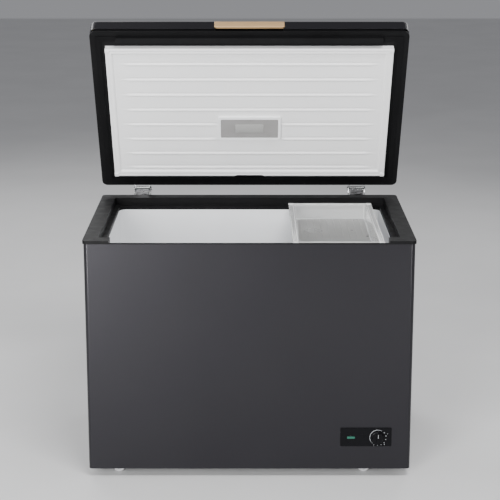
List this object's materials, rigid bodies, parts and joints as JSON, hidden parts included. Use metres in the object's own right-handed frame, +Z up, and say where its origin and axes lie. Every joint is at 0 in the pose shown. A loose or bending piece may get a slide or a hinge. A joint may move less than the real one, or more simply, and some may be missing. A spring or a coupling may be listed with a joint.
{
  "type": "chest freezer",
  "caption": "Chest freezer with its hinged lid held open, a white stepped tub, a sliding storage basket, a thermostat dial and floor rollers.",
  "frame": {"origin": "on the floor, at the middle of the space the freezer takes up with its lid open", "axes": "+Z up, -Y to the front with the controls, +X to the right as seen from the front"},
  "size_m": [1, 0.6942, 1.3727],
  "materials": {
    "charcoal_steel": "satin brushed coating",
    "galvanised_steel": "dull zinc",
    "hinge_steel": "bright zinc",
    "fasteners": "zinc plated",
    "foam": "closed-cell foam",
    "white_plastic": "satin",
    "black_plastic": "fine grain",
    "black_gloss": "polished",
    "green_lens": "polished",
    "lamp_lens": "clouded",
    "board": "lacquered",
    "rubber": "matt",
    "compressor_paint": "black enamel",
    "tubes": "black lacquer",
    "aluminium_tube": "drawn",
    "copper": "drawn copper",
    "champagne": "brushed, anodised",
    "clear_plastic": "frosted",
    "grey_plastic": "moulded"
  },
  "bodies": {
    "cabinet": {"outer_shell": "charcoal_steel", "back_panel": "galvanised_steel", "bottom_panel": "galvanised_steel", "insulation_foam": "foam", "inner_liner": "white_plastic", "frame_rail_left": "black_plastic", "frame_rail_right": "black_plastic", "frame_rail_front": "black_plastic", "frame_rail_back": "black_plastic", "control_panel": "black_gloss", "indicator_lens": "green_lens", "indicator_lamp": "board", "thermostat": "black_plastic", "compressor_base": "galvanised_steel", "compressor_grommets": "rubber", "compressor_bolts": "fasteners", "compressor": "compressor_paint", "compressor_pump": "compressor_paint", "start_relay": "black_plastic", "condenser_coil": "tubes", "evaporator_coil": "aluminium_tube", "suction_line": "copper", "discharge_line": "copper", "filter_drier": "copper", "compressor_grille": "black_plastic", "grille_screws": "fasteners", "wall_spacers": "black_plastic", "cord_gland": "rubber", "drain_tube": "grey_plastic", "hinge_housing_left": "hinge_steel", "hinge_housing_right": "hinge_steel", "hinge_spring_left": "fasteners", "hinge_spring_right": "fasteners", "hinge_housing_screws": "fasteners", "hinge_pins": "fasteners", "roller_brackets": "galvanised_steel", "roller_axles": "fasteners"},
    "lid": {"lid_skin": "charcoal_steel", "lid_frame": "black_plastic", "handle_cup": "black_plastic", "lid_handle": "champagne", "lid_inner_panel": "white_plastic", "lid_gasket": "rubber", "lid_foam": "foam", "lamp_housing": "white_plastic", "lamp_lens": "lamp_lens", "lamp_board": "board", "hinge_arm_left": "hinge_steel", "hinge_arm_right": "hinge_steel", "hinge_cam_pins": "fasteners", "hinge_arm_screws": "fasteners"},
    "storage_basket": {"storage_basket": "clear_plastic"},
    "thermostat_knob": {"thermostat_knob": "black_gloss"},
    "roller_front_left": {"roller_front_left": "grey_plastic"},
    "roller_front_right": {"roller_front_right": "grey_plastic"},
    "roller_back_left": {"roller_back_left": "grey_plastic"},
    "roller_back_right": {"roller_back_right": "grey_plastic"},
    "hinge_plunger_left": {"hinge_plunger_left": "hinge_steel"},
    "hinge_plunger_right": {"hinge_plunger_right": "hinge_steel"},
    "drain_plug": {"drain_plug": "grey_plastic"}
  },
  "joints": [
    {"name": "lid_hinge", "type": "hinge", "parent": "cabinet", "child": "lid", "pos_m": [0, 0.323, 0.774], "axis": [1, 0, 0], "range_deg": [0, 61.5]},
    {"name": "basket_slide", "type": "slide", "parent": "cabinet", "child": "storage_basket", "axis": [1, 0, 0], "range_m": [-0.564, 0.024]},
    {"name": "thermostat_turn", "type": "hinge", "parent": "cabinet", "child": "thermostat_knob", "pos_m": [0.3955, -0.33, 0.1325], "axis": [0, 1, 0], "range_deg": [-150, 150]},
    {"name": "roller_front_left_spin", "type": "hinge", "parent": "cabinet", "child": "roller_front_left", "pos_m": [-0.408, -0.273, 0.02], "axis": [0, 1, 0], "continuous": true},
    {"name": "roller_front_right_spin", "type": "hinge", "parent": "cabinet", "child": "roller_front_right", "pos_m": [0.3575, -0.273, 0.02], "axis": [0, 1, 0], "continuous": true},
    {"name": "roller_back_left_spin", "type": "hinge", "parent": "cabinet", "child": "roller_back_left", "pos_m": [-0.408, 0.235, 0.02], "axis": [0, 1, 0], "continuous": true},
    {"name": "roller_back_right_spin", "type": "hinge", "parent": "cabinet", "child": "roller_back_right", "pos_m": [0.3575, 0.235, 0.02], "axis": [0, 1, 0], "continuous": true},
    {"name": "plunger_left_slide", "type": "slide", "parent": "cabinet", "child": "hinge_plunger_left", "axis": [0, 0, 1], "range_m": [-0.0126, 0], "deforming": ["hinge_spring_left"]},
    {"name": "plunger_right_slide", "type": "slide", "parent": "cabinet", "child": "hinge_plunger_right", "axis": [0, 0, 1], "range_m": [-0.0126, 0], "deforming": ["hinge_spring_right"]},
    {"name": "drain_plug_pull", "type": "slide", "parent": "cabinet", "child": "drain_plug", "axis": [0, 0, 1], "range_m": [0, 0.03]}
  ],
  "couplings": [
    {"joint": "plunger_left_slide", "follows": "lid_hinge", "m_per_rad": -0.01143},
    {"joint": "plunger_right_slide", "follows": "lid_hinge", "m_per_rad": -0.01143}
  ]
}
